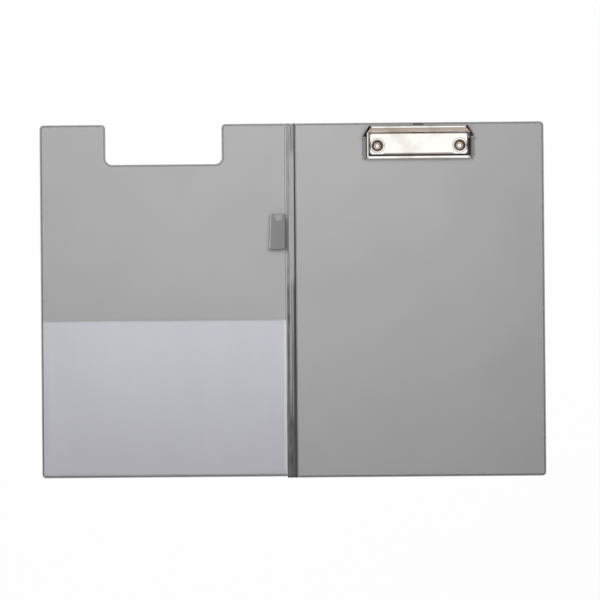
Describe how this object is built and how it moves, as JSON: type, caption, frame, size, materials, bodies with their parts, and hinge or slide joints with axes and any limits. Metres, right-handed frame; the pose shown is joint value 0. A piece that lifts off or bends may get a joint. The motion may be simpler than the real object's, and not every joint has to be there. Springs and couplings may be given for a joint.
{
  "type": "clipboard folder",
  "caption": "Foldover clipboard folder covered in grey film: board with a sprung metal clip and sliding hanging tab, ribbed spine, and a cut-out cover with pen loop and clear pocket.",
  "frame": {"origin": "on the table under the middle of the open folder", "axes": "+X across the open folder towards the board, +Y up the board towards the clip, +Z out of the board's inner face"},
  "size_m": [0.4596, 0.323, 0.0108],
  "materials": {
    "outer_film": "fine-grained grey vinyl film",
    "core": "grey board",
    "inner_film": "fine-grained grey vinyl film",
    "pocket": "clear glossy film",
    "loop": "fine-grained grey vinyl film",
    "plate": "bright nickel plating over steel",
    "rivets": "bright nickel plating over steel",
    "rod": "drawn steel",
    "springs": "spring wire",
    "bail": "bright nickel plating over steel",
    "hanger": "nickel-plated strip"
  },
  "bodies": {
    "board": {"board_outer_film": "outer_film", "board_core": "core", "board_inner_film": "inner_film", "clip_plate": "plate", "clip_rivets": "rivets", "pivot_rod": "rod", "spring_left": "springs", "spring_right": "springs"},
    "bail": {"clip_bail": "bail"},
    "hanger": {"hanger": "hanger"},
    "spine": {"spine_outer_film": "outer_film", "spine_inner_film": "inner_film"},
    "cover": {"cover_outer_film": "outer_film", "cover_core": "core", "cover_inner_film": "inner_film", "pocket_film": "pocket", "pen_loop": "loop"}
  },
  "joints": [
    {"name": "spine_fold", "type": "hinge", "parent": "board", "child": "spine", "pos_m": [0.00285, 0, 0.00015], "axis": [0, 1, 0], "range_deg": [-90, 90]},
    {"name": "cover_fold", "type": "hinge", "parent": "spine", "child": "cover", "pos_m": [-0.00575, 0, 0.00015], "axis": [0, 1, 0], "range_deg": [-90, 90]},
    {"name": "bail_turn", "type": "hinge", "parent": "board", "child": "bail", "pos_m": [0.11545, 0.1475, 0.0052], "axis": [-1, 0, 0], "range_deg": [0, 24], "stiffness_Nm_per_rad": 0.4, "springref_deg": -40.11, "deforming": ["spring_left", "spring_right"]},
    {"name": "hanger_slide", "type": "slide", "parent": "board", "child": "hanger", "axis": [0, 1, 0], "range_m": [0, 0.0121]}
  ]
}
